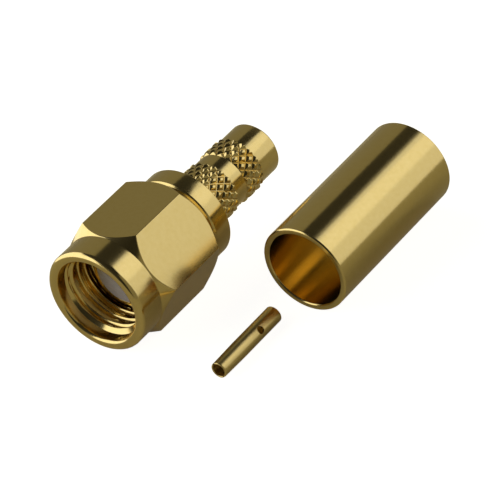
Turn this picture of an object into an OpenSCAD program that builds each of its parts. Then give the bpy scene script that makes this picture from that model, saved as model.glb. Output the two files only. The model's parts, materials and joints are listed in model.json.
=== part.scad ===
// Coaxial crimp plug with a threaded hexagonal coupling nut, and its loose contact and crimp sleeve.
// +Y runs from the mating face towards the cable, +Z is up, and the origin is on the plug's axis in the
// reference plane, where the outer conductor ends. The plug lies on one flat of its nut.

/* [Coupling nut] */
// Width of the hexagon across its flats
hex_af = 8; // [7.8:0.1:9]
// Diameter of the smooth collar in front of the hexagon
collar_d = 7.92; // [7.6:0.02:7.96]
// Length of the collar
collar_l = 2.2; // [1.6:0.1:2.8]
// Length of the whole nut
nut_l = 8.85; // [8.6:0.05:9.4]
// How far the nut stands in front of the reference plane
mouth_depth = 3; // [2.8:0.1:3.4]
// Angle of the chamfer at the front of the hexagon, from the axis
front_chamfer = 36; // [30:1:45]
// Angle of the chamfer at the back of the hexagon, from the axis
rear_chamfer = 45; // [30:1:50]
// Radius of the rounded outer edge of the mouth
lip_r = 0.3; // [0.1:0.05:0.35]
// Radius of the rounded inner edge of the mouth
mouth_r = 0.36; // [0.1:0.02:0.4]
// Major diameter of the coupling thread, also of the recess in front of it
thread_major_d = 6.4; // [6.36:0.01:6.5]
// Minor diameter of the coupling thread
thread_minor_d = 5.75; // [5.7:0.01:5.85]
// Depth of the smooth recess in front of the thread
recess_l = 0.72; // [0.5:0.02:1]
// Length of the relief behind the thread
relief_l = 0.5; // [0.3:0.05:0.7]

/* [Body] */
// Outside diameter of the outer conductor
conductor_d = 4.6; // [4.5:0.02:4.7]
// Length of the outer conductor in front of the flange
conductor_l = 1.9; // [1.7:0.1:2.1]
// Diameter of the shank inside the nut
shank_d = 5.5; // [5.3:0.05:5.55]
// Diameter of the shoulder behind the nut
shoulder_d = 7.2; // [6.8:0.1:7.8]
// Length of the shoulder
shoulder_l = 1.6; // [1:0.1:2.5]
// Gap between the nut and the shoulder
nut_gap = 0.55; // [0.2:0.05:0.8]
// Bevel on the edges of the shoulder
shoulder_bevel = 0.08; // [0.04:0.02:0.2]

/* [Crimp stem] */
// Diameter over the knurl
knurl_d = 4.44; // [4.4:0.02:4.6]
// Number of grooves of each hand round the knurl
knurl_count = 20; // [16:1:24]
// Distance along the axis from one groove to the next of the same hand
knurl_pitch = 0.94; // [0.7:0.02:1.2]
// Width of the knurl's grooves, measured round the stem
knurl_groove_w = 0.28; // [0.2:0.02:0.36]
// Depth of the knurl's grooves
knurl_depth = 0.1; // [0.06:0.01:0.11]
// Length of the chamfer at the front of the rear knurl
knurl_lead_l = 0.3; // [0.1:0.05:0.5]
// Length of the knurl next to the shoulder
front_knurl_l = 3; // [2:0.1:4]
// Length of the knurl next to the tail
rear_knurl_l = 1.85; // [1:0.05:3]
// Diameter of the groove between the knurls
groove_d = 4.16; // [3.9:0.02:4.16]
// Length of the groove
groove_l = 1.2; // [0.6:0.1:2]
// Diameter of the smooth tail
tail_d = 4.14; // [3.9:0.02:4.2]
// Length of the tail
tail_l = 2.35; // [1:0.05:4]
// Bevel at the end of the tail
tail_bevel = 0.22; // [0.05:0.01:0.3]
// Bore of the stem, for the cable's dielectric
stem_bore_d = 3.1; // [2.9:0.05:3.3]

/* [Insulator and contact] */
// Diameter of the insulator
insulator_d = 4.1; // [4:0.02:4.2]
// Length of the insulator
insulator_l = 5.9; // [5:0.1:6.4]
// Diameter of the contact
contact_d = 1.27; // [1.2:0.01:1.4]
// Diameter of the contact at the tip of its tines
contact_tip_d = 1.19; // [1.14:0.01:1.27]
// Length of the contact
contact_l = 6.6; // [6:0.1:8]
// Diameter of the contact's two bores
contact_bore_d = 0.94; // [0.9:0.01:0.98]
// Depth of the socket
socket_l = 3.2; // [2.8:0.1:3.6]
// Depth of the hole for the cable's wire
wire_l = 2.8; // [2.4:0.1:3]
// Length of the slots in the socket
slot_l = 2.45; // [1.5:0.05:2.7]
// Width of the slots
slot_w = 0.16; // [0.1:0.01:0.24]
// Diameter of the inspection hole
peep_d = 0.56; // [0.4:0.02:0.7]
// Distance of the inspection hole from the contact's back end
peep_back = 2.2; // [1.6:0.1:2.4]
// How far the contact has rolled, from its hole facing sideways to facing up
contact_turn = 35; // [0:1:90]

/* [Retaining ring and gasket] */
// Thickness of the retaining ring across its radius
ring_t = 0.37; // [0.3:0.01:0.4]
// Width of the retaining ring along the axis
ring_w = 0.4; // [0.3:0.05:0.6]
// How far the retaining ring stands into the nut
ring_grip = 0.12; // [0.08:0.01:0.16]
// Opening of the retaining ring, in degrees
ring_opening = 40; // [20:5:60]
// Distance of the retaining ring behind the flange
ring_back = 1.8; // [1.2:0.1:2.4]
// Thickness of the gasket
gasket_t = 0.6; // [0.4:0.05:0.8]

/* [Crimp ferrule] */
// Outside diameter of the ferrule
ferrule_d = 6.6; // [6.2:0.05:7]
// Wall of the ferrule
ferrule_wall = 0.45; // [0.3:0.05:0.6]
// Length of the ferrule
ferrule_l = 13.35; // [10:0.05:15]
// Bevel on the ferrule's edges
ferrule_bevel = 0.08; // [0.04:0.02:0.14]

/* [Layout] */
// Sideways distance from the plug's axis to the ferrule's
ferrule_x = 11.2; // [9:0.1:16]
// How far the ferrule's front end lies behind the reference plane
ferrule_y = 5.8; // [4.8:0.1:12]
// Sideways distance from the plug's axis to the contact's
contact_x = 9.45; // [7:0.05:14]
// How far the contact's tip lies in front of the reference plane
contact_y = 2.85; // [2.6:0.05:6]

/* [Clearances] */
// Radial gap between the nut and the body it turns on
turning_gap = 0.06; // [0.03:0.01:0.09]
// Gap between a ring and its groove
ring_gap = 0.04; // [0.02:0.01:0.08]
// Radial gap round what is pushed in
push_gap = 0.01; // [0.005:0.005:0.03]
// Radial gap between the contact and its hole in the insulator
contact_gap = 0.025; // [0.01:0.005:0.05]

/* [Hidden] */
$fn = 96;
gold = [0.83, 0.66, 0.33];
past = 0.5; // how far a cutting shape runs past the face that it cuts
seam = 0.2; // how far one shape runs into the next that it is joined to

// Nut, by distance along the axis
nut_front = -mouth_depth;
nut_rear = nut_front + nut_l;
corner_r = hex_af / sqrt(3);
chamfer_y = nut_front + collar_l;
front_chamfer_l = (corner_r - collar_d / 2) / tan(front_chamfer);
rear_chamfer_l = (corner_r - collar_d / 2) / tan(rear_chamfer);
recess_y = nut_front + recess_l;
thread_y = recess_y + (thread_major_d - thread_minor_d) / 2;
relief_y = conductor_l - relief_l;
nut_bore_r = shank_d / 2 + turning_gap;

// Retaining ring, in a groove of the body and one of the nut
ring_outer_r = nut_bore_r + ring_grip;
ring_inner_r = ring_outer_r - ring_t;
ring_y = conductor_l + ring_back;
nut_groove_r = ring_outer_r + ring_gap;
body_groove_r = nut_bore_r - ring_t - ring_gap;

// Body
shoulder_y = nut_rear + nut_gap;
stem_y = shoulder_y + shoulder_l;
groove_y = stem_y + front_knurl_l;
rear_knurl_y = groove_y + groove_l;
tail_y = rear_knurl_y + rear_knurl_l;
stem_end = tail_y + tail_l;

// What the loose pieces lie on
table_z = -hex_af / 2;

// A turned solid about the Y axis: the profile's x is the radius and its y the place along the axis.
module turned() {
    rotate([-90, 0, 0]) rotate_extrude() children();
}

// A turned tube between two places on the axis
module tube_profile(inner_r, outer_r, from, to) {
    translate([inner_r, from]) square([outer_r - inner_r, to - from]);
}

// Profile of everything outside the nut's bores. Its chamfers cut the corners of the hexagon.
module nut_outline() {
    collar_r = collar_d / 2;
    polygon([
        [0, nut_front],
        [collar_r - lip_r, nut_front],
        [collar_r - lip_r, nut_front + lip_r],
        [collar_r, nut_front + lip_r],
        [collar_r, chamfer_y],
        [corner_r, chamfer_y + front_chamfer_l],
        [corner_r + past, chamfer_y + front_chamfer_l],
        [corner_r + past, nut_rear - rear_chamfer_l],
        [corner_r, nut_rear - rear_chamfer_l],
        [collar_r, nut_rear],
        [0, nut_rear],
    ]);
    translate([collar_r - lip_r, nut_front + lip_r]) circle(r = lip_r);
}

// Profile of what is bored out of the nut
module nut_bores() {
    major_r = thread_major_d / 2;
    minor_r = thread_minor_d / 2;
    polygon([
        [0, nut_front - past],
        [major_r, nut_front - past],
        [major_r, recess_y],
        [minor_r, thread_y],
        [minor_r, relief_y],
        [major_r, relief_y],
        [major_r, conductor_l],
        [nut_bore_r, conductor_l],
        [nut_bore_r, nut_rear + past],
        [0, nut_rear + past],
    ]);
    difference() {
        translate([major_r - past, nut_front - past]) square([past + mouth_r, past + mouth_r]);
        translate([major_r + mouth_r, nut_front + mouth_r]) circle(r = mouth_r);
    }
    tube_profile(0, nut_groove_r, ring_y - ring_gap, ring_y + ring_w + ring_gap);
}

module coupling_nut() {
    color(gold) difference() {
        intersection() {
            translate([0, nut_front, 0]) rotate([-90, 0, 0]) cylinder(r = corner_r, h = nut_l, $fn = 6);
            turned() nut_outline();
        }
        turned() nut_bores();
    }
}

// Profile of the body, solid
module body_outline() {
    shoulder_r = shoulder_d / 2;
    tail_r = tail_d / 2;
    polygon([
        [0, 0],
        [conductor_d / 2, 0],
        [conductor_d / 2, conductor_l],
        [shank_d / 2, conductor_l],
        [shank_d / 2, shoulder_y],
        [shoulder_r - shoulder_bevel, shoulder_y],
        [shoulder_r, shoulder_y + shoulder_bevel],
        [shoulder_r, stem_y - shoulder_bevel],
        [shoulder_r - shoulder_bevel, stem_y],
        [tail_r, stem_y],
        [tail_r, stem_end - tail_bevel],
        [tail_r - tail_bevel, stem_end],
        [0, stem_end],
    ]);
}

// One diamond of the knurl, as triangles between its top's left, right, low and high corners and the
// crossings of grooves beside, below and above it. Each function gives the half on one side.
function diamond_above(left, right, high, start, end, above) =
    [[left, right, high], [end, above, high], [end, high, right], [above, start, left], [above, left, high]];
function diamond_below(left, right, low, start, end, below) =
    [[left, low, right], [start, below, low], [start, low, left], [below, end, right], [below, right, low]];

// A rod with V grooves of both hands. Crossings of grooves and tops of diamonds take turns on a lattice of
// half pitches. No point stands further from the axis than the lead, which rises from its root at its start.
module knurled_rod(start, rows, lead_start, lead_slope) {
    root_r = knurl_d / 2 - knurl_depth;
    half_turn = 180 / knurl_count;
    top_share = 1 - knurl_groove_w * knurl_count / (PI * knurl_d);
    function at(column, row, r) =
        let(y = start + row * knurl_pitch / 2, lead_r = root_r + max(y - lead_start, 0) * lead_slope)
            [min(r, lead_r) * cos(column * half_turn), y, min(r, lead_r) * sin(column * half_turn)];
    crossings = [
        for (row = [0:rows], k = [0:knurl_count - 1]) at(2 * k + row % 2, row, root_r),
    ];
    tops = [
        for (row = [0:rows], k = [0:knurl_count - 1])
            let(column = 2 * k + 1 + row % 2)
                each [
                    at(column - top_share, row, knurl_d / 2),
                    at(column + top_share, row, knurl_d / 2),
                    at(column, max(row - top_share, 0), knurl_d / 2),
                    at(column, min(row + top_share, rows), knurl_d / 2),
                ],
    ];
    function crossing(k, row) = row * knurl_count + k % knurl_count;
    function top(k, row, corner) = len(crossings) + 4 * (row * knurl_count + k) + corner;
    rim = [
        for (row = [0:rows], k = [0:knurl_count - 1])
            let(beside = k + row % 2)
                each concat(
                    row == rows ? [] : diamond_above(
                        top(k, row, 0), top(k, row, 1), top(k, row, 3),
                        crossing(k, row), crossing(k + 1, row), crossing(beside, row + 1)
                    ),
                    row == 0 ? [] : diamond_below(
                        top(k, row, 0), top(k, row, 1), top(k, row, 2),
                        crossing(k, row), crossing(k + 1, row), crossing(beside, row - 1)
                    )
                ),
    ];
    function edge(row) = [
        for (k = [0:knurl_count - 1]) each [crossing(k, row), top(k, row, 0), top(k, row, 1)],
    ];
    front = edge(0);
    polyhedron(
        concat(crossings, tops),
        concat(rim, [[for (i = [len(front) - 1:-1:0]) front[i]], edge(rows)])
    );
}

// A band of knurl, cut square at both ends from a longer rod
module knurl_band(from, to, lead_l) {
    rows = ceil(2 * (to - from) / knurl_pitch) + 2;
    start = (from + to) / 2 - rows * knurl_pitch / 4;
    intersection() {
        if (lead_l > 0) knurled_rod(start, rows, from, knurl_depth / lead_l);
        else knurled_rod(start, rows, start - knurl_pitch, 1);
        turned() tube_profile(0, knurl_d, from, to);
    }
}

module connector_body() {
    color(gold) {
        difference() {
            union() {
                turned() body_outline();
                turned() tube_profile(0, groove_d / 2, groove_y - seam, rear_knurl_y + seam);
                knurl_band(stem_y - seam, groove_y, 0);
                knurl_band(rear_knurl_y, tail_y, knurl_lead_l);
            }
            turned() tube_profile(0, insulator_d / 2, -past, insulator_l);
            turned() tube_profile(0, stem_bore_d / 2, -past, stem_end + past);
            turned() tube_profile(body_groove_r, shank_d / 2 + past,
                ring_y - ring_gap, ring_y + ring_w + ring_gap);
        }
    }
}

// Spring ring, open at the top
module retaining_ring() {
    color("silver") rotate([0, ring_opening / 2 - 90, 0]) rotate([-90, 0, 0])
        rotate_extrude(angle = 360 - ring_opening)
            tube_profile(ring_inner_r, ring_outer_r, ring_y, ring_y + ring_w);
}

module gasket() {
    color("maroon") turned()
        tube_profile(conductor_d / 2 + push_gap, shank_d / 2, conductor_l - gasket_t, conductor_l);
}

module insulator() {
    color("whitesmoke") turned()
        tube_profile(contact_d / 2 + contact_gap, insulator_d / 2 - push_gap, 0, insulator_l);
}

// The contact with its tip at the origin, its axis along Y and its inspection hole facing +X
module contact_shape() {
    difference() {
        turned() polygon([
            [0, 0],
            [contact_tip_d / 2, 0],
            [contact_d / 2, slot_l],
            [contact_d / 2, contact_l],
            [0, contact_l],
        ]);
        turned() tube_profile(0, contact_bore_d / 2, -past, socket_l);
        turned() tube_profile(0, contact_bore_d / 2, contact_l - wire_l, contact_l + past);
        translate([-slot_w / 2, -past, -contact_d]) cube([slot_w, past + slot_l, 2 * contact_d]);
        translate([0, contact_l - peep_back, 0]) rotate([0, 90, 0]) cylinder(d = peep_d, h = contact_d);
    }
}

module centre_contact() {
    color(gold) translate([contact_x, -contact_y, table_z + contact_d / 2])
        rotate([0, -contact_turn, 0]) contact_shape();
}

module crimp_ferrule() {
    outer_r = ferrule_d / 2;
    inner_r = outer_r - ferrule_wall;
    color(gold) translate([ferrule_x, ferrule_y, table_z + outer_r]) turned() polygon([
        [inner_r + ferrule_bevel, 0],
        [outer_r - ferrule_bevel, 0],
        [outer_r, ferrule_bevel],
        [outer_r, ferrule_l - ferrule_bevel],
        [outer_r - ferrule_bevel, ferrule_l],
        [inner_r + ferrule_bevel, ferrule_l],
        [inner_r, ferrule_l - ferrule_bevel],
        [inner_r, ferrule_bevel],
    ]);
}

coupling_nut();
connector_body();
retaining_ring();
gasket();
insulator();
centre_contact();
crimp_ferrule();
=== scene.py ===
"""Dresses a crimp-on coaxial plug with its loose contact and ferrule, and sets the studio round them."""

import json
import math

import bmesh
import bpy
from bpy.props import FloatProperty, FloatVectorProperty, IntProperty, PointerProperty
from bpy.types import Operator, Panel, PropertyGroup
from mathutils import Matrix, Vector


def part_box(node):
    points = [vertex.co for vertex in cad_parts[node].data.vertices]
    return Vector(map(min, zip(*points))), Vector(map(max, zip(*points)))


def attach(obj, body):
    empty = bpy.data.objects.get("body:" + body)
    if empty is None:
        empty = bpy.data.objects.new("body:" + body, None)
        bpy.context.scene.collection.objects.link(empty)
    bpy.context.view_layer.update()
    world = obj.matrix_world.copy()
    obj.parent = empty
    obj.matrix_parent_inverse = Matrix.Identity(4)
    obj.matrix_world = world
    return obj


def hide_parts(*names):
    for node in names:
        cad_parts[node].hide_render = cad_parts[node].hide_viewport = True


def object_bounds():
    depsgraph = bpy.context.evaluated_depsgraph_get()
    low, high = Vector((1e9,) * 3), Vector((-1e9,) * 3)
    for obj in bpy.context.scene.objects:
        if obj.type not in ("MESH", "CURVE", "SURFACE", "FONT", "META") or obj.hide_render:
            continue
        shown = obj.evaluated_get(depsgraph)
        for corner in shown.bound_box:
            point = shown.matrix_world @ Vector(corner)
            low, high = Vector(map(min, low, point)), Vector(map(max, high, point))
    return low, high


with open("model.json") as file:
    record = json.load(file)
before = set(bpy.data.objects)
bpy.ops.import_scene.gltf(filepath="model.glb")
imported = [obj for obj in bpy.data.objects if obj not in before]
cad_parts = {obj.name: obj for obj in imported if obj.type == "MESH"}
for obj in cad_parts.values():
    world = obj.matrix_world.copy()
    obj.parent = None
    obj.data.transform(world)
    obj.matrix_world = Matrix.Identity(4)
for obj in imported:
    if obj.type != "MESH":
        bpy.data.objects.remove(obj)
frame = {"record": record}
CAD_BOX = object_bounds()

bl_info = {
    "name": "Coaxial crimp plug",
    "version": (1, 0, 0),
    "blender": (4, 5, 0),
    "location": "View3D > Sidebar > Plug",
    "description": "Models the plug's turned pieces, gives them their plating and lights them",
    "category": "Object",
}

MM = 0.001
WELD = 1e-8  # vertices closer than this are one
MARGIN = 1e-7  # play when a station or a radius is compared
FINE_ROW = 0.1 * MM  # rows that keep the shading of long thin faces true
SHARP_ANGLE = math.radians(32)
KNURL_SHARP_ANGLE = math.radians(24)
HEX_SIDES = 6
KNURL_STEPS = 16  # parts that each groove's pitch is divided into
RING_SPACING = 0.06 * MM
RING_STRENGTH = 0.06
CARD_DISTANCE = 500 * MM
FLAG_DISTANCE = 560 * MM
AIM = Vector((7.9, 4.64, 1.0)) * MM  # the point that the camera looks at


# Places that the frame gives

def mount_place(name):
    """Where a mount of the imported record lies."""
    return next(Vector(m["pos_m"]) for m in frame["record"]["mounts"] if m["name"] == name)


def mount_hole_radius(name):
    """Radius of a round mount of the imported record."""
    return next(m["dims"]["r_mm"] * MM for m in frame["record"]["mounts"] if m["name"] == name)


NUT_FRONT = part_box("coupling_nut")[0].y
NUT_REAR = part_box("coupling_nut")[1].y
HEX_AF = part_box("coupling_nut")[1].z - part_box("coupling_nut")[0].z
STEM_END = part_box("connector_body")[1].y
CONTACT_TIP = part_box("centre_contact")[0].y
CONTACT_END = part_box("centre_contact")[1].y
CONTACT_AXIS = mount_place("contact_socket")
FERRULE_AXIS = mount_place("ferrule_bore")
TABLE_Z = CAD_BOX[0].z


# Sizes and colours that a user would change

def size(name, description, millimetres):
    """A length property, with its default given in millimetres."""
    return FloatProperty(
        name=name, description=description, default=millimetres * MM, min=0, precision=5, unit="LENGTH"
    )


def colour(name, description, value):
    """A colour property in linear light."""
    return FloatVectorProperty(
        name=name, description=description, default=value, min=0, max=1, size=3, subtype="COLOR"
    )


def share(name, description, value):
    """A plain number, mostly between 0 and 1."""
    return FloatProperty(name=name, description=description, default=value, precision=3)


class PLUG_PG_nut(PropertyGroup):
    collar_d: size("Collar", "Diameter of the smooth collar in front of the hexagon", 7.92)
    collar_l: size("Collar length", "Length of the collar", 2.2)
    front_angle: FloatProperty(
        name="Front chamfer", description="Angle of the front chamfer from the axis",
        default=math.radians(36), subtype="ANGLE",
    )
    rear_angle: FloatProperty(
        name="Rear chamfer", description="Angle of the rear chamfer from the axis",
        default=math.radians(45), subtype="ANGLE",
    )
    lip_r: size("Lip", "Radius of the mouth's rounded outer edge", 0.3)
    mouth_r: size("Mouth", "Radius of the mouth's rounded inner edge", 0.27)
    recess_r: size("Recess", "Radius of the smooth recess in front of the thread", 3.2)
    recess_l: size("Recess depth", "Depth of the smooth recess", 0.9)
    minor_r: size("Thread's minor radius", "Radius over the crests of the thread", 2.875)
    major_r: size("Thread's major radius", "Radius at the roots of the thread", 3.175)
    pitch: size("Thread's pitch", "Distance from one turn of the thread to the next", 0.7056)
    relief_l: size("Relief", "Length of the relief behind the thread", 0.5)
    bore_r: size("Bore", "Radius of the bore that turns on the body", 2.81)
    groove_r: size("Ring groove", "Radius of the groove for the retaining ring", 2.97)
    edge_r: size("Edges", "Rounding of the hexagon's edges", 0.035)


class PLUG_PG_body(PropertyGroup):
    conductor_r: size("Outer conductor", "Radius of the outer conductor", 2.3)
    conductor_l: size("Conductor length", "Length of the outer conductor in front of the flange", 1.9)
    shank_r: size("Shank", "Radius of the shank inside the nut", 2.75)
    shoulder_r: size("Shoulder", "Radius of the shoulder behind the nut", 3.6)
    shoulder_l: size("Shoulder length", "Length of the shoulder", 1.6)
    nut_gap: size("Gap", "Gap between the nut and the shoulder", 0.55)
    shoulder_bevel: size("Shoulder bevel", "Bevel on the shoulder's rear edge", 0.08)
    shoulder_chamfer: size("Shoulder chamfer", "Chamfer on the shoulder's front edge", 0.2)
    ring_y: size("Ring groove", "Place of the groove for the retaining ring", 3.66)
    ring_l: size("Ring groove length", "Length of the groove for the retaining ring", 0.48)
    ring_r: size("Ring groove radius", "Radius at the bottom of the ring's groove", 2.4)
    tail_r: size("Tail", "Radius of the stem's smooth tail", 2.07)
    tail_l: size("Tail length", "Length of the smooth tail", 2.35)
    tail_bevel: size("Tail bevel", "Bevel at the end of the tail", 0.22)
    groove_r: size("Groove", "Radius of the groove between the knurls", 2.08)
    groove_l: size("Groove length", "Length of the groove between the knurls", 1.2)
    stem_bore_r: size("Stem bore", "Radius of the bore for the cable", 1.55)
    insulator_bore_r: size("Insulator bore", "Radius of the bore that holds the insulator", 2.05)
    insulator_l: size("Insulator bore length", "Depth of the insulator's bore", 5.9)


class PLUG_PG_knurl(PropertyGroup):
    radius: size("Radius", "Radius over the knurl", 2.22)
    depth: size("Depth", "Depth of the grooves", 0.14)
    pitch: size("Pitch", "Distance along the axis between grooves of one hand", 0.94)
    groove_w: size("Groove width", "Width of the grooves, measured round the stem", 0.43)
    rear_l: size("Rear knurl", "Length of the knurl next to the tail", 1.85)
    lead_l: size("Lead", "Length of the chamfer at the front of the rear knurl", 0.15)
    count: IntProperty(name="Grooves", description="Number of grooves of each hand", default=20, min=8)


class PLUG_PG_contact(PropertyGroup):
    bore_r: size("Bores", "Radius of the socket and of the wire's hole", 0.47)
    tip_r: size("Tip", "Radius at the tip of the tines", 0.595)
    socket_l: size("Socket", "Depth of the socket", 3.2)
    wire_l: size("Wire hole", "Depth of the hole for the cable's wire", 2.8)
    slot_l: size("Slot length", "Length of the slots in the socket", 2.45)
    slot_w: size("Slot width", "Width of the slots in the socket", 0.16)
    peep_r: size("Inspection hole", "Radius of the inspection hole", 0.28)
    peep_back: size("Hole from end", "Distance of the inspection hole from the back end", 2.2)
    turn: FloatProperty(
        name="Turn", description="How far the contact has rolled towards its hole facing up",
        default=math.radians(35), subtype="ANGLE",
    )


class PLUG_PG_finish(PropertyGroup):
    gold: colour("Gold", "Colour of the gold plating", (0.83, 0.63, 0.235))
    deep_gold: colour("Deep gold", "Colour of the plating where it is thicker", (0.77, 0.56, 0.175))
    spring: colour("Spring", "Colour of the bare spring ring", (0.62, 0.5, 0.3))
    rubber: colour("Rubber", "Colour of the moulded gasket", (0.3, 0.02, 0.012))
    insulation: colour("Insulation", "Colour of the insulator", (0.86, 0.79, 0.72))
    polish: share("Polish", "Roughness of the plated metal", 0.16)
    soft: share("Soft", "Roughness of the loose contact", 0.3)


class PLUG_PG_stage(PropertyGroup):
    azimuth: FloatProperty(
        name="Azimuth", description="Angle of the camera round the plug", default=math.radians(42.56),
        subtype="ANGLE",
    )
    elevation: FloatProperty(
        name="Elevation", description="Angle of the camera above the floor", default=math.radians(33.77),
        subtype="ANGLE",
    )
    roll: FloatProperty(
        name="Roll", description="Turn of the camera about its own axis", default=math.radians(-13.75),
        subtype="ANGLE",
    )
    distance: size("Distance", "Distance of the camera from the point that it looks at", 236)
    lens: FloatProperty(name="Lens", description="Focal length in millimetres", default=252.8)
    key_level: share("Key", "Brightness of the tall card at the right", 0.74)
    key_lift: share("Key lift", "Extra brightness of the upper half of the tall card", 0.26)
    key_colour: colour("Key colour", "Colour of the tall card", (0.79, 0.83, 1.0))
    front_level: share("Front", "Brightness of the card at the front left", 1.5)
    room_level: share("Room", "Brightness of the room in the plating", 0.17)
    room_colour: colour("Room colour", "Colour of the room in the plating", (1.0, 0.96, 0.7))
    floor_white: share("Floor", "How white the floor is made for the camera", 0.93)
    metal_white: share("White in metal", "How much of the background's white the plating shows", 0.05)
    floor_colour: colour("Floor colour", "Colour of the floor under the lamps", (0.66, 0.6, 0.36))
    floor_width: size("Floor width", "Width of the table top", 90)


# Shaping

def new_piece(name, bm):
    """Makes a mesh object, at the origin, from a bmesh."""
    mesh = bpy.data.meshes.new(name)
    bm.to_mesh(mesh)
    bm.free()
    piece = bpy.data.objects.new(name, mesh)
    bpy.context.scene.collection.objects.link(piece)
    return piece


def rounded_profile(bm, corners, segments=4):
    """A closed outline of (radius, station, rounding) corners in the XY plane, with its corners rounded."""
    verts = [bm.verts.new((radius, station, 0)) for radius, station, _ in corners]
    for i, vert in enumerate(verts):
        bm.edges.new((vert, verts[(i + 1) % len(verts)]))
    for vert, (_, _, rounding) in zip(verts, corners):
        if not rounding:
            continue
        arms = [(e.other_vert(vert).co - vert.co).normalized() for e in vert.link_edges]
        half_angle = arms[0].angle(arms[1]) / 2
        bmesh.ops.bevel(
            bm, geom=[vert], offset=rounding / math.tan(half_angle), offset_type="OFFSET",
            segments=segments, profile=0.5, affect="VERTICES", material=-1, clamp_overlap=False,
        )


def divide_along(bm, low, high, inner, outer, step):
    """Cuts the profile's edges between two stations and two radii into pieces of about one step."""
    for edge in list(bm.edges):
        (x0, y0, _), (x1, y1, _) = edge.verts[0].co, edge.verts[1].co
        in_length = low - MARGIN <= min(y0, y1) and max(y0, y1) <= high + MARGIN
        in_depth = inner - MARGIN <= min(x0, x1) and max(x0, x1) <= outer + MARGIN
        cuts = round(abs(y1 - y0) / step) - 1
        if in_length and in_depth and cuts > 0:
            bmesh.ops.subdivide_edges(bm, edges=[edge], cuts=cuts)


def spin_round(bm, steps):
    """Turns the profile once round the Y axis and closes the seam."""
    bmesh.ops.spin(
        bm, geom=bm.verts[:] + bm.edges[:], cent=(0, 0, 0), axis=(0, 1, 0),
        angle=math.tau, steps=steps, use_merge=True,
    )
    bmesh.ops.remove_doubles(bm, verts=bm.verts, dist=WELD)
    bmesh.ops.recalc_face_normals(bm, faces=bm.faces)


def turned(corners, steps=192):
    """A turned tube as a bmesh, from its closed profile."""
    bm = bmesh.new()
    rounded_profile(bm, corners)
    spin_round(bm, steps)
    return bm


def smooth_except_edges(bm, soft=lambda vert: False, limit=SHARP_ANGLE):
    """Smooth shading that keeps each sharp edge, apart from edges between soft vertices."""
    for face in bm.faces:
        face.smooth = True
    for edge in bm.edges:
        sharp = len(edge.link_faces) == 2 and edge.calc_face_angle() > limit
        edge.smooth = not sharp or all(soft(vert) for vert in edge.verts)


def settle_normals(piece):
    """Gives large faces the say in the shading beside small roundings."""
    weigh = piece.modifiers.new("weigh", "WEIGHTED_NORMAL")
    weigh.keep_sharp = True
    apply_modifiers(piece)


def apply_modifiers(piece):
    """Replaces a piece's mesh by its modified one."""
    graph = bpy.context.evaluated_depsgraph_get()
    mesh = bpy.data.meshes.new_from_object(piece.evaluated_get(graph), depsgraph=graph)
    piece.modifiers.clear()
    old = piece.data
    piece.data = mesh
    bpy.data.meshes.remove(old)
    mesh.name = piece.name


def cut_away(piece, cutter):
    """Takes the cutter's shape out of a piece and throws the cutter away."""
    cut = piece.modifiers.new("cut", "BOOLEAN")
    cut.operation = "DIFFERENCE"
    cut.solver = "EXACT"
    cut.object = cutter
    bpy.context.view_layer.update()
    apply_modifiers(piece)
    mesh = cutter.data
    bpy.data.objects.remove(cutter)
    bpy.data.meshes.remove(mesh)


def finish_piece(piece, node, body, material):
    """Puts a finished piece in place of its CAD node."""
    piece.data.materials.clear()
    piece.data.materials.append(material)
    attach(piece, body)
    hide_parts(node)


# Patterns

def thread_radius(nut, station, turn):
    """Radius of the thread's wall: a 60 degree V, flat at crest and root, one pitch on each turn."""
    phase = (station / nut.pitch - turn / math.tau) % 1
    from_root = min(phase, 1 - phase) * nut.pitch
    root_half = nut.pitch / 16
    return nut.major_r - max(from_root - root_half, 0) * math.tan(math.radians(60))


def cut_thread(bm, nut, low, high):
    """Moves the bore's wall out to the thread's groove wherever the groove is wider than the bore."""
    for vert in bm.verts:
        radius = math.hypot(vert.co.x, vert.co.z)
        if low <= vert.co.y <= high and nut.minor_r * 0.999 < radius < nut.major_r:
            turn = math.atan2(vert.co.z, vert.co.x)
            wall = max(thread_radius(nut, vert.co.y, turn), radius)
            vert.co.x *= wall / radius
            vert.co.z *= wall / radius


def knurl_fall(knurl, station, turn):
    """How deep the knurl is cut at a place, from 0 on a diamond to 1 at the bottom of a groove."""
    around = turn * knurl.count / math.tau
    along = station / knurl.pitch
    half_width = knurl.groove_w * knurl.count / (math.tau * knurl.radius) / 2
    nearest = min(abs(lane - round(lane)) for lane in (around + along, around - along))
    return max(1 - nearest / half_width, 0)


def cut_knurl(bm, knurl, low, high, middle):
    """Presses the V grooves of both hands into a band of the stem."""
    root = knurl.radius - knurl.depth
    for vert in bm.verts:
        radius = math.hypot(vert.co.x, vert.co.z)
        in_length = low - MARGIN <= vert.co.y <= high + MARGIN
        if in_length and root < radius <= knurl.radius + MARGIN:
            turn = math.atan2(vert.co.z, vert.co.x)
            pressed = knurl.radius - knurl.depth * knurl_fall(knurl, vert.co.y - middle, turn)
            wall = min(pressed, radius)
            vert.co.x *= wall / radius
            vert.co.z *= wall / radius


def split_along_grooves(bm, knurl, low, high, middle):
    """Splits the band's quads along the grooves, so that both hands have straight bottoms and crests."""
    along, across = [], []
    for face in bm.faces:
        stations = [vert.co.y for vert in face.verts]
        inside = low - MARGIN <= min(stations) and max(stations) <= high + MARGIN
        if len(stations) != 4 or not inside or max(stations) - min(stations) < MARGIN:
            continue
        centre = face.calc_center_median()
        turn = math.atan2(centre.z, centre.x)
        wanted = knurl.radius - knurl.depth * knurl_fall(knurl, centre.y - middle, turn)
        radii = [math.hypot(vert.co.x, vert.co.z) for vert in face.verts]
        first, second = (radii[0] + radii[2]) / 2, (radii[1] + radii[3]) / 2
        (along if abs(first - wanted) <= abs(second - wanted) else across).append(face)
    bmesh.ops.triangulate(bm, faces=along, quad_method="FIXED")
    bmesh.ops.triangulate(bm, faces=across, quad_method="ALTERNATE")


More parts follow.
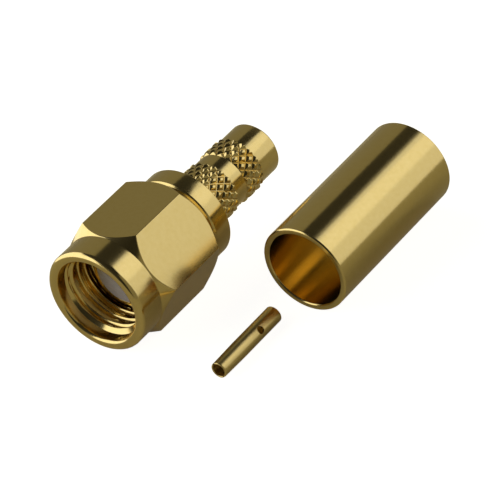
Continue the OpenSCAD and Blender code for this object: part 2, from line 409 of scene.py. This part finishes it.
# Materials

def group_socket(group, name, kind, way, default=None):
    """Adds one named input or output to a node group."""
    socket = group.interface.new_socket(name=name, in_out=way, socket_type=kind)
    if default is not None:
        socket.default_value = default
    return socket


def turning_marks_group():
    """Fine rings that a lathe leaves: a height that changes along the axis and with the radius."""
    group = bpy.data.node_groups.new("Turning marks", "ShaderNodeTree")
    group_socket(group, "Spacing", "NodeSocketFloat", "INPUT", RING_SPACING)
    group_socket(group, "Amount", "NodeSocketFloat", "INPUT", 0.5)
    group_socket(group, "Height", "NodeSocketFloat", "OUTPUT")
    nodes, links = group.nodes, group.links
    given, result = nodes.new("NodeGroupInput"), nodes.new("NodeGroupOutput")
    place = nodes.new("ShaderNodeTexCoord")
    split = nodes.new("ShaderNodeSeparateXYZ")
    links.new(place.outputs["Object"], split.inputs[0])
    across = nodes.new("ShaderNodeCombineXYZ")
    links.new(split.outputs["X"], across.inputs["X"])
    links.new(split.outputs["Z"], across.inputs["Z"])
    radius = nodes.new("ShaderNodeVectorMath")
    radius.operation = "LENGTH"
    links.new(across.outputs[0], radius.inputs[0])
    sum_up = math_node(nodes, links, "ADD", split.outputs["Y"], radius.outputs["Value"])
    scaled = math_node(nodes, links, "DIVIDE", sum_up, given.outputs["Spacing"])
    rings = nodes.new("ShaderNodeTexNoise")
    rings.noise_dimensions = "1D"
    rings.inputs["Scale"].default_value = 1
    rings.inputs["Detail"].default_value = 3
    links.new(scaled, rings.inputs["W"])
    height = math_node(nodes, links, "MULTIPLY", rings.outputs["Fac"], given.outputs["Amount"])
    links.new(height, result.inputs["Height"])
    return group


def plating_group():
    """Gold that is a little deeper in places, and a roughness that wanders with it."""
    group = bpy.data.node_groups.new("Plating", "ShaderNodeTree")
    group_socket(group, "Light", "NodeSocketColor", "INPUT", (0.8, 0.6, 0.2, 1))
    group_socket(group, "Deep", "NodeSocketColor", "INPUT", (0.7, 0.5, 0.15, 1))
    group_socket(group, "Roughness", "NodeSocketFloat", "INPUT", 0.2)
    group_socket(group, "Grain", "NodeSocketFloat", "INPUT", 0.04)
    group_socket(group, "Color", "NodeSocketColor", "OUTPUT")
    group_socket(group, "Roughness", "NodeSocketFloat", "OUTPUT")
    group_socket(group, "Grain height", "NodeSocketFloat", "OUTPUT")
    nodes, links = group.nodes, group.links
    given, result = nodes.new("NodeGroupInput"), nodes.new("NodeGroupOutput")
    place = nodes.new("ShaderNodeTexCoord")
    patches = noise_node(nodes, links, place.outputs["Object"], scale=3000, detail=3)
    grain = noise_node(nodes, links, place.outputs["Object"], scale=9000, detail=4)
    mix = nodes.new("ShaderNodeMix")
    mix.data_type = "RGBA"
    links.new(patches, mix.inputs["Factor"])
    links.new(given.outputs["Light"], mix.inputs[6])
    links.new(given.outputs["Deep"], mix.inputs[7])
    links.new(mix.outputs[2], result.inputs["Color"])
    centred = math_node(nodes, links, "SUBTRACT", grain, 0.5)
    wander = math_node(nodes, links, "MULTIPLY", centred, given.outputs["Grain"])
    rough = math_node(nodes, links, "ADD", wander, given.outputs["Roughness"])
    links.new(rough, result.inputs["Roughness"])
    links.new(grain, result.inputs["Grain height"])
    return group


def math_node(nodes, links, operation, first, second):
    """Puts a Math node between two values, either of which may be a plain number."""
    node = nodes.new("ShaderNodeMath")
    node.operation = operation
    for i, value in enumerate((first, second)):
        if isinstance(value, (int, float)):
            node.inputs[i].default_value = value
        else:
            links.new(value, node.inputs[i])
    return node.outputs[0]


def noise_node(nodes, links, vector, scale, detail):
    """The strength of a noise over the piece."""
    noise = nodes.new("ShaderNodeTexNoise")
    noise.inputs["Scale"].default_value = scale
    noise.inputs["Detail"].default_value = detail
    links.new(vector, noise.inputs["Vector"])
    return noise.outputs["Fac"]


def shared_group(name, make):
    """A node group, made the first time that it is asked for."""
    return bpy.data.node_groups.get(name) or make()


def new_material(name):
    """A material with only its Principled shader and output."""
    material = bpy.data.materials.new(name)
    material.use_nodes = True
    return material, material.node_tree.nodes, material.node_tree.links


def gold_plate(name, finish, roughness, grain):
    """Plated metal with the rings of its turning and a fine grain."""
    material, nodes, links = new_material(name)
    shader = nodes["Principled BSDF"]
    shader.inputs["Metallic"].default_value = 1
    plating = nodes.new("ShaderNodeGroup")
    plating.node_tree = shared_group("Plating", plating_group)
    plating.inputs["Light"].default_value = (*finish.gold, 1)
    plating.inputs["Deep"].default_value = (*finish.deep_gold, 1)
    plating.inputs["Roughness"].default_value = roughness
    plating.inputs["Grain"].default_value = grain
    links.new(plating.outputs["Color"], shader.inputs["Base Color"])
    links.new(plating.outputs["Roughness"], shader.inputs["Roughness"])
    marks = nodes.new("ShaderNodeGroup")
    marks.node_tree = shared_group("Turning marks", turning_marks_group)
    marks.inputs["Spacing"].default_value = RING_SPACING
    marks.inputs["Amount"].default_value = RING_STRENGTH
    height = math_node(nodes, links, "ADD", marks.outputs["Height"], plating.outputs["Grain height"])
    bump = nodes.new("ShaderNodeBump")
    bump.inputs["Strength"].default_value = 0.05
    bump.inputs["Distance"].default_value = 0.01 * MM
    links.new(height, bump.inputs["Height"])
    links.new(bump.outputs["Normal"], shader.inputs["Normal"])
    return material


def moulded(name, base, roughness, speckle_scale, bump_mm):
    """A plain moulded or turned plastic with a slight unevenness."""
    material, nodes, links = new_material(name)
    shader = nodes["Principled BSDF"]
    place = nodes.new("ShaderNodeTexCoord")
    speckle = noise_node(nodes, links, place.outputs["Object"], speckle_scale, detail=4)
    ramp = nodes.new("ShaderNodeValToRGB")
    ramp.color_ramp.elements[0].color = (*[c * 0.88 for c in base], 1)
    ramp.color_ramp.elements[1].color = (*base, 1)
    links.new(speckle, ramp.inputs["Fac"])
    links.new(ramp.outputs["Color"], shader.inputs["Base Color"])
    shader.inputs["Roughness"].default_value = roughness
    bump = nodes.new("ShaderNodeBump")
    bump.inputs["Strength"].default_value = 0.3
    bump.inputs["Distance"].default_value = bump_mm * MM
    links.new(speckle, bump.inputs["Height"])
    links.new(bump.outputs["Normal"], shader.inputs["Normal"])
    return material


# Pieces

class PLUG_OT_coupling_nut(Operator):
    """Turns the nut, cuts its six flats and its thread"""

    bl_idname = "plug.coupling_nut"
    bl_label = "Coupling nut"

    def execute(self, context):
        nut, body, finish = context.scene.plug_nut, context.scene.plug_body, context.scene.plug_finish
        piece = new_piece("threaded_coupling_nut", self.nut_shape(nut, body))
        settle_normals(piece)
        material = gold_plate("Gold nut", finish, finish.polish, grain=0.05)
        finish_piece(piece, "coupling_nut", "nut", material)
        return {"FINISHED"}

    def nut_shape(self, nut, body):
        """The whole nut as a bmesh."""
        bm = bmesh.new()
        rounded_profile(bm, self.nut_profile(nut, body))
        thread_start = NUT_FRONT + nut.recess_l
        thread_end = body.conductor_l - nut.relief_l
        collar_r, collar_end = nut.collar_d / 2, NUT_FRONT + nut.collar_l
        divide_along(bm, thread_start, thread_end, nut.minor_r, nut.recess_r, step=nut.pitch / 20)
        divide_along(bm, NUT_FRONT, collar_end, collar_r, collar_r, step=FINE_ROW)
        spin_round(bm, steps=288)
        self.cut_flats(bm)
        cut_thread(bm, nut, thread_start, thread_end)
        bmesh.ops.recalc_face_normals(bm, faces=bm.faces)
        smooth_except_edges(
            bm,
            lambda vert: thread_start < vert.co.y < thread_end
            and math.hypot(vert.co.x, vert.co.z) < nut.major_r,
        )
        for face in self.flats(bm):
            for edge in face.edges:
                edge.smooth = False
        return bm

    def nut_profile(self, nut, body):
        """The nut's section, which stands beyond the hexagon's corners until the flats are cut."""
        collar_r = nut.collar_d / 2
        beyond_corners = 0.3 * MM
        blank_r = HEX_AF / math.sqrt(3) + beyond_corners
        front_l = (blank_r - collar_r) / math.tan(nut.front_angle)
        rear_l = (blank_r - collar_r) / math.tan(nut.rear_angle)
        chamfer_y = NUT_FRONT + nut.collar_l
        recess_y = NUT_FRONT + nut.recess_l
        ring_end = body.ring_y + body.ring_l
        fine = 0.03 * MM
        return [
            (collar_r, NUT_FRONT, nut.lip_r),
            (collar_r, chamfer_y, fine),
            (blank_r, chamfer_y + front_l, 0),
            (blank_r, NUT_REAR - rear_l, 0),
            (collar_r, NUT_REAR, 0.05 * MM),
            (nut.bore_r, NUT_REAR, fine),
            (nut.bore_r, ring_end, 0),
            (nut.groove_r, ring_end, 0),
            (nut.groove_r, body.ring_y, 0),
            (nut.bore_r, body.ring_y, 0),
            (nut.bore_r, body.conductor_l, fine),
            (nut.recess_r, body.conductor_l, 0),
            (nut.recess_r, body.conductor_l - nut.relief_l, 0),
            (nut.minor_r, body.conductor_l - nut.relief_l, 0),
            (nut.minor_r, recess_y + nut.recess_r - nut.minor_r, 0),
            (nut.recess_r, recess_y, 0),
            (nut.recess_r, NUT_FRONT, nut.mouth_r),
        ]

    def cut_flats(self, bm):
        """Cuts the six flats, closes them and rounds their edges."""
        for side in range(HEX_SIDES):
            turn = math.tau * (side + 0.5) / HEX_SIDES
            outward = Vector((math.cos(turn), 0, math.sin(turn)))
            cut = bmesh.ops.bisect_plane(
                bm, geom=bm.verts[:] + bm.edges[:] + bm.faces[:], dist=WELD,
                plane_co=outward * HEX_AF / 2, plane_no=outward, clear_outer=True,
            )
            rim = [part for part in cut["geom_cut"] if isinstance(part, bmesh.types.BMEdge)]
            bmesh.ops.edgenet_fill(bm, edges=rim)
        bmesh.ops.recalc_face_normals(bm, faces=bm.faces)
        rims = {edge for face in self.flats(bm) for edge in face.edges}
        bmesh.ops.bevel(
            bm, geom=list(rims), offset=bpy.context.scene.plug_nut.edge_r, offset_type="OFFSET",
            segments=3, profile=0.5, affect="EDGES", material=-1, clamp_overlap=True,
        )

    def flats(self, bm):
        """The nut's six flat faces, which have far more corners than any other face."""
        return [face for face in bm.faces if len(face.verts) > 8]


class PLUG_OT_connector_body(Operator):
    """Turns the body and presses its two knurls"""

    bl_idname = "plug.connector_body"
    bl_label = "Connector body"

    def execute(self, context):
        body, knurl, finish = context.scene.plug_body, context.scene.plug_knurl, context.scene.plug_finish
        piece = new_piece("knurled_body", self.body_shape(body, knurl))
        settle_normals(piece)
        material = gold_plate("Gold body", finish, finish.polish, grain=0.05)
        finish_piece(piece, "connector_body", "plug", material)
        return {"FINISHED"}

    def body_shape(self, body, knurl):
        """The whole body as a bmesh."""
        shoulder_y = NUT_REAR + body.nut_gap
        stem_y = shoulder_y + body.shoulder_l
        edge_y = shoulder_y + body.shoulder_bevel
        tail_y = STEM_END - body.tail_l
        rear_y = tail_y - knurl.rear_l
        groove_y = rear_y - body.groove_l
        ring_end = body.ring_y + body.ring_l
        root_r = knurl.radius - knurl.depth
        fine = 0.02 * MM
        bm = bmesh.new()
        rounded_profile(bm, [
            (body.insulator_bore_r, 0, fine),
            (body.conductor_r, 0, fine),
            (body.conductor_r, body.conductor_l, 0),
            (body.shank_r, body.conductor_l, fine),
            (body.shank_r, body.ring_y, 0),
            (body.ring_r, body.ring_y, 0),
            (body.ring_r, ring_end, 0),
            (body.shank_r, ring_end, 0),
            (body.shank_r, edge_y - body.shoulder_chamfer, 0.05 * MM),
            (body.shoulder_r - body.shoulder_chamfer, edge_y - body.shoulder_chamfer, fine),
            (body.shoulder_r, edge_y, fine),
            (body.shoulder_r, stem_y - body.shoulder_bevel, 0.03 * MM),
            (body.shoulder_r - body.shoulder_bevel, stem_y, 0.03 * MM),
            (knurl.radius, stem_y, 0),
            (knurl.radius, groove_y, 0),
            (body.groove_r, groove_y, 0),
            (body.groove_r, rear_y, 0),
            (knurl.radius, rear_y + knurl.lead_l, 0),
            (knurl.radius, tail_y, 0),
            (body.tail_r, tail_y, 0),
            (body.tail_r, STEM_END - body.tail_bevel, 0.04 * MM),
            (body.tail_r - body.tail_bevel, STEM_END, 0.04 * MM),
            (body.stem_bore_r, STEM_END, 0.03 * MM),
            (body.stem_bore_r, body.insulator_l, 0),
            (body.insulator_bore_r, body.insulator_l, 0),
        ])
        row = knurl.pitch / KNURL_STEPS
        divide_along(bm, stem_y, groove_y, root_r, knurl.radius, row)
        divide_along(bm, rear_y, tail_y, body.tail_r, knurl.radius, row)
        spin_round(bm, KNURL_STEPS * knurl.count)
        bands = ((stem_y, groove_y), (rear_y, tail_y))
        for press in (cut_knurl, split_along_grooves):
            for low, high in bands:
                press(bm, knurl, low, high, (low + high) / 2)
        bm.normal_update()
        smooth_except_edges(bm, limit=KNURL_SHARP_ANGLE)
        return bm


class PLUG_OT_inner_pieces(Operator):
    """Turns the insulator and the gasket and bends the retaining ring"""

    bl_idname = "plug.inner_pieces"
    bl_label = "Insulator, gasket and ring"

    def execute(self, context):
        finish = context.scene.plug_finish
        fine = 0.03 * MM
        insulator = self.sleeve("turned_insulator", "insulator", mount_hole_radius("contact_hole"), fine)
        ptfe = moulded(
            "White insulation", finish.insulation, roughness=0.42, speckle_scale=2500, bump_mm=0.01
        )
        finish_piece(insulator, "insulator", "plug", ptfe)
        gasket_r = context.scene.plug_body.conductor_r + 0.01 * MM
        gasket = self.sleeve("moulded_gasket", "gasket", gasket_r, 0.1 * MM)
        rubber = moulded("Red rubber", finish.rubber, roughness=0.5, speckle_scale=4000, bump_mm=0.01)
        finish_piece(gasket, "gasket", "plug", rubber)
        ring = self.open_ring()
        finish_piece(ring, "retaining_ring", "plug", self.spring_metal(finish))
        return {"FINISHED"}

    def sleeve(self, name, node, inner_r, rounding):
        """A plain tube that fills the box of its CAD node."""
        low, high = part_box(node)
        bm = turned([
            (inner_r, low.y, rounding),
            (high.z, low.y, rounding),
            (high.z, high.y, rounding),
            (inner_r, high.y, rounding),
        ])
        smooth_except_edges(bm)
        piece = new_piece(name, bm)
        settle_normals(piece)
        return piece

    def open_ring(self):
        """The split spring ring, open at the top."""
        low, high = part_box("retaining_ring")
        thickness = 0.37 * MM
        opening = math.radians(40)
        bm = bmesh.new()
        outer_r = -low.z
        inner_r = outer_r - thickness
        corners = ((inner_r, low.y), (outer_r, low.y), (outer_r, high.y), (inner_r, high.y))
        section = [bm.verts.new((radius, station, 0)) for radius, station in corners]
        start = bm.faces.new(section)
        bmesh.ops.rotate(
            bm, verts=section, cent=(0, 0, 0), matrix=Matrix.Rotation(-math.pi / 2 + opening / 2, 3, "Y")
        )
        bmesh.ops.spin(
            bm, geom=[start], cent=(0, 0, 0), axis=(0, 1, 0), angle=math.tau - opening, steps=128,
        )
        bmesh.ops.remove_doubles(bm, verts=bm.verts, dist=WELD)
        bmesh.ops.recalc_face_normals(bm, faces=bm.faces)
        smooth_except_edges(bm)
        return new_piece("split_retaining_ring", bm)

    def spring_metal(self, finish):
        """Drawn wire, brushed along its length."""
        material, nodes, links = new_material("Spring metal")
        shader = nodes["Principled BSDF"]
        shader.inputs["Metallic"].default_value = 1
        place = nodes.new("ShaderNodeTexCoord")
        streaks = noise_node(nodes, links, place.outputs["Object"], scale=6000, detail=3)
        ramp = nodes.new("ShaderNodeValToRGB")
        ramp.color_ramp.elements[0].color = (*[c * 0.8 for c in finish.spring], 1)
        ramp.color_ramp.elements[1].color = (*finish.spring, 1)
        links.new(streaks, ramp.inputs["Fac"])
        links.new(ramp.outputs["Color"], shader.inputs["Base Color"])
        shader.inputs["Roughness"].default_value = 0.35
        return material


class PLUG_OT_centre_contact(Operator):
    """Turns the contact, drills its inspection hole and slits its socket"""

    bl_idname = "plug.centre_contact"
    bl_label = "Centre contact"

    def execute(self, context):
        contact, finish = context.scene.plug_contact, context.scene.plug_finish
        piece = new_piece("slotted_contact", self.pin_shape(contact))
        cut_away(piece, self.slot_cutter(contact))
        cut_away(piece, self.hole_cutter(contact))
        self.shade(piece)
        place = Matrix.Translation((CONTACT_AXIS.x, CONTACT_TIP, CONTACT_AXIS.z))
        piece.data.transform(place @ Matrix.Rotation(-contact.turn, 4, "Y"))
        material = gold_plate("Gold contact", finish, finish.soft, grain=0.08)
        finish_piece(piece, "centre_contact", "plug", material)
        return {"FINISHED"}

    def pin_shape(self, contact):
        """The contact before it is slit, with its tip at the origin."""
        length = CONTACT_END - CONTACT_TIP
        outer_r = (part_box("centre_contact")[1].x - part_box("centre_contact")[0].x) / 2
        fine = 0.02 * MM
        bm = bmesh.new()
        corners = [
            (0, contact.socket_l, 0),
            (contact.bore_r, contact.socket_l, 0),
            (contact.bore_r, 0, 0.05 * MM),
            (contact.tip_r, 0, 0.05 * MM),
            (outer_r, contact.slot_l, 0),
            (outer_r, length, 0.04 * MM),
            (contact.bore_r, length, fine),
            (contact.bore_r, length - contact.wire_l, 0),
            (0, length - contact.wire_l, 0),
        ]
        rounded_profile(bm, corners)
        axis_edge = [edge for edge in bm.edges if all(abs(vert.co.x) < 1e-9 for vert in edge.verts)]
        bmesh.ops.delete(bm, geom=axis_edge, context="EDGES")
        divide_along(bm, 0, length, contact.bore_r, outer_r, step=FINE_ROW)
        spin_round(bm, steps=96)
        return bm

    def slot_cutter(self, contact):
        """A plate that slits the socket into two tines."""
        bm = bmesh.new()
        bmesh.ops.create_cube(bm, size=1)
        reach = 0.5 * MM
        bmesh.ops.scale(bm, verts=bm.verts, vec=(contact.slot_w, contact.slot_l + reach, 3 * MM))
        bmesh.ops.translate(bm, verts=bm.verts, vec=(0, (contact.slot_l - reach) / 2, 0))
        return new_piece("slot_cutter", bm)

    def hole_cutter(self, contact):
        """A drill through the side wall that faces +X."""
        bm = bmesh.new()
        length = CONTACT_END - CONTACT_TIP
        bmesh.ops.create_cone(
            bm, cap_ends=True, segments=48, radius1=contact.peep_r, radius2=contact.peep_r, depth=1 * MM,
        )
        bmesh.ops.rotate(bm, verts=bm.verts, cent=(0, 0, 0), matrix=Matrix.Rotation(math.pi / 2, 3, "Y"))
        bmesh.ops.translate(bm, verts=bm.verts, vec=(0.5 * MM, length - contact.peep_back, 0))
        return new_piece("hole_cutter", bm)

    def shade(self, piece):
        """Smooth shading with the cut edges kept sharp."""
        bm = bmesh.new()
        bm.from_mesh(piece.data)
        bmesh.ops.remove_doubles(bm, verts=bm.verts, dist=WELD)
        smooth_except_edges(bm)
        bm.to_mesh(piece.data)
        bm.free()
        settle_normals(piece)


class PLUG_OT_crimp_ferrule(Operator):
    """Turns the loose crimp ferrule"""

    bl_idname = "plug.crimp_ferrule"
    bl_label = "Crimp ferrule"

    def execute(self, context):
        finish = context.scene.plug_finish
        low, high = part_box("crimp_ferrule")
        outer_r = (high.z - low.z) / 2
        inner_r = mount_hole_radius("ferrule_bore")
        bevel = 0.08 * MM
        edge = 0.05 * MM
        bm = turned([
            (inner_r + bevel, low.y, edge),
            (outer_r - bevel, low.y, edge),
            (outer_r, low.y + bevel, edge),
            (outer_r, high.y - bevel, edge),
            (outer_r - bevel, high.y, edge),
            (inner_r + bevel, high.y, edge),
            (inner_r, high.y - bevel, edge),
            (inner_r, low.y + bevel, edge),
        ], steps=256)
        smooth_except_edges(bm)
        bmesh.ops.translate(bm, verts=bm.verts, vec=(FERRULE_AXIS.x, 0, FERRULE_AXIS.z))
        piece = new_piece("plain_ferrule", bm)
        settle_normals(piece)
        material = gold_plate("Gold ferrule", finish, finish.polish, grain=0.05)
        finish_piece(piece, "crimp_ferrule", "plug", material)
        return {"FINISHED"}


# Stage

class PLUG_OT_stage(Operator):
    """Sets the floor, the cards, the room and the camera"""

    bl_idname = "plug.stage"
    bl_label = "Studio"

    def execute(self, context):
        stage = context.scene.plug_stage
        context.scene.view_settings.view_transform = "Standard"
        self.add_floor(stage)
        tint = stage.key_colour
        self.add_card("key_card", stage.key_level, tint, place=(51, 21), angles=(44, 64))
        self.add_card("key_card_top", stage.key_lift, tint, place=(56, 38), angles=(34, 28))
        self.add_card("front_card", stage.front_level, tint, place=(-155, 18), angles=(88, 76))
        self.add_flag("camera_flag", place=(-74, 26), angles=(56, 68))
        self.add_flag("back_flag", place=(90, 62), angles=(38, 40))
        self.add_flag("ceiling_flag", place=(90, 90), angles=(84, 64))
        self.set_room(stage)
        self.add_camera(stage)
        return {"FINISHED"}

    def facing(self, bearing, elevation, distance):
        """Where something stands that faces the plug, bearing being measured from +X towards +Y."""
        bearing, elevation = math.radians(bearing), math.radians(elevation)
        toward = Vector((
            math.cos(bearing) * math.cos(elevation),
            math.sin(bearing) * math.cos(elevation),
            math.sin(elevation),
        ))
        return Matrix.Translation(toward * distance) @ toward.to_track_quat("Z", "Y").to_matrix().to_4x4()

    def spans(self, distance, angles):
        """Width and height of something that fills two angles at a distance."""
        return [2 * distance * math.tan(math.radians(angle / 2)) for angle in angles]

    def add_floor(self, stage):
        """A table top, white to the camera and much less so to the plating, that keeps the shadows."""
        bm = bmesh.new()
        bmesh.ops.create_grid(bm, x_segments=1, y_segments=1, size=stage.floor_width / 2)
        middle = (CAD_BOX[0] + CAD_BOX[1]) / 2
        bmesh.ops.translate(bm, verts=bm.verts, vec=(middle.x, middle.y, TABLE_Z))
        floor = new_piece("table_top", bm)
        material, nodes, links = new_material("Table top")
        shader = nodes["Principled BSDF"]
        shader.inputs["Base Color"].default_value = (*stage.floor_colour, 1)
        shader.inputs["Roughness"].default_value = 1
        shader.inputs["Specular IOR Level"].default_value = 0
        white = nodes.new("ShaderNodeEmission")
        strength = self.whiteness(nodes, links, stage.floor_white, stage.metal_white)
        links.new(strength, white.inputs["Strength"])
        total = nodes.new("ShaderNodeAddShader")
        links.new(shader.outputs[0], total.inputs[0])
        links.new(white.outputs[0], total.inputs[1])
        links.new(total.outputs[0], nodes["Material Output"].inputs["Surface"])
        floor.data.materials.append(material)

    def whiteness(self, nodes, links, seen, mirrored):
        """A strength for what the camera sees, straight or through something clear, and for mirrors."""
        path = nodes.new("ShaderNodeLightPath")
        direct = math_node(
            nodes, links, "MAXIMUM", path.outputs["Is Camera Ray"], path.outputs["Is Transmission Ray"]
        )
        shown = math_node(nodes, links, "MULTIPLY", direct, seen)
        in_metal = math_node(nodes, links, "MULTIPLY", path.outputs["Is Glossy Ray"], mirrored)
        return math_node(nodes, links, "ADD", shown, in_metal)

    def add_card(self, name, level, tint, place, angles):
        """A lamp, level being how bright it looks in a mirror, and angles its width and height."""
        light = bpy.data.lights.new(name, "AREA")
        light.shape = "RECTANGLE"
        light.size, light.size_y = self.spans(CARD_DISTANCE, angles)
        light.color = tint
        light.energy = level * math.pi * light.size * light.size_y
        card = bpy.data.objects.new(name, light)
        card.matrix_world = self.facing(*place, CARD_DISTANCE)
        card.visible_camera = False
        bpy.context.scene.collection.objects.link(card)

    def add_flag(self, name, place, angles):
        """A black board that the camera doesn't see and the plating does."""
        bm = bmesh.new()
        bmesh.ops.create_grid(bm, x_segments=1, y_segments=1, size=0.5)
        width, height = self.spans(FLAG_DISTANCE, angles)
        bmesh.ops.scale(bm, verts=bm.verts, vec=(width, height, 1))
        bmesh.ops.transform(bm, verts=bm.verts, matrix=self.facing(*place, FLAG_DISTANCE))
        flag = new_piece(name, bm)
        material, nodes, _ = new_material("Black board")
        nodes["Principled BSDF"].inputs["Base Color"].default_value = (0.06, 0.06, 0.06, 1)
        nodes["Principled BSDF"].inputs["Roughness"].default_value = 1
        flag.data.materials.append(material)
        flag.visible_camera = False

    def set_room(self, stage):
        """A white room for the camera and a dim one for the rest, with a share of the white in metal."""
        world = bpy.data.worlds.new("Room")
        bpy.context.scene.world = world
        world.use_nodes = True
        nodes, links = world.node_tree.nodes, world.node_tree.links
        room = nodes["Background"]
        room.inputs["Color"].default_value = (*stage.room_colour, 1)
        room.inputs["Strength"].default_value = stage.room_level
        white = nodes.new("ShaderNodeBackground")
        white.inputs["Color"].default_value = (1, 1, 1, 1)
        mix = nodes.new("ShaderNodeMixShader")
        links.new(self.whiteness(nodes, links, 1, stage.metal_white), mix.inputs["Fac"])
        links.new(room.outputs[0], mix.inputs[1])
        links.new(white.outputs[0], mix.inputs[2])
        links.new(mix.outputs[0], nodes["World Output"].inputs["Surface"])

    def add_camera(self, stage):
        """A long lens, looking down on the pieces and turned a little."""
        back = Vector((
            math.sin(stage.azimuth) * math.cos(stage.elevation),
            -math.cos(stage.azimuth) * math.cos(stage.elevation),
            math.sin(stage.elevation),
        ))
        data = bpy.data.cameras.new("camera")
        data.lens = stage.lens
        camera = bpy.data.objects.new("camera", data)
        turn = back.to_track_quat("Z", "Y").to_matrix() @ Matrix.Rotation(stage.roll, 3, "Z")
        camera.matrix_world = Matrix.Translation(AIM + back * stage.distance) @ turn.to_4x4()
        bpy.context.scene.collection.objects.link(camera)
        bpy.context.scene.camera = camera


class PLUG_PT_panel(Panel):
    """Lists the steps that dress the plug"""

    bl_idname = "PLUG_PT_panel"
    bl_label = "Coaxial plug"
    bl_space_type = "VIEW_3D"
    bl_region_type = "UI"
    bl_category = "Plug"

    def draw(self, context):
        for operator in OPERATORS:
            self.layout.operator(operator.bl_idname)
        for name in SETTINGS:
            group = getattr(context.scene, name)
            box = self.layout.box()
            for key in group.__annotations__:
                box.prop(group, key)


SETTINGS = {
    "plug_nut": PLUG_PG_nut,
    "plug_body": PLUG_PG_body,
    "plug_knurl": PLUG_PG_knurl,
    "plug_contact": PLUG_PG_contact,
    "plug_finish": PLUG_PG_finish,
    "plug_stage": PLUG_PG_stage,
}
OPERATORS = (
    PLUG_OT_coupling_nut,
    PLUG_OT_connector_body,
    PLUG_OT_inner_pieces,
    PLUG_OT_centre_contact,
    PLUG_OT_crimp_ferrule,
    PLUG_OT_stage,
)
CLASSES = (*SETTINGS.values(), *OPERATORS, PLUG_PT_panel)


def register():
    for cls in CLASSES:
        bpy.utils.register_class(cls)
    for name, cls in SETTINGS.items():
        setattr(bpy.types.Scene, name, PointerProperty(type=cls))


def unregister():
    for name in SETTINGS:
        delattr(bpy.types.Scene, name)
    for cls in reversed(CLASSES):
        bpy.utils.unregister_class(cls)


def main():
    register()
    for operator in OPERATORS:
        module, name = operator.bl_idname.split(".")
        getattr(getattr(bpy.ops, module), name)()


if __name__ == "__main__":
    main()
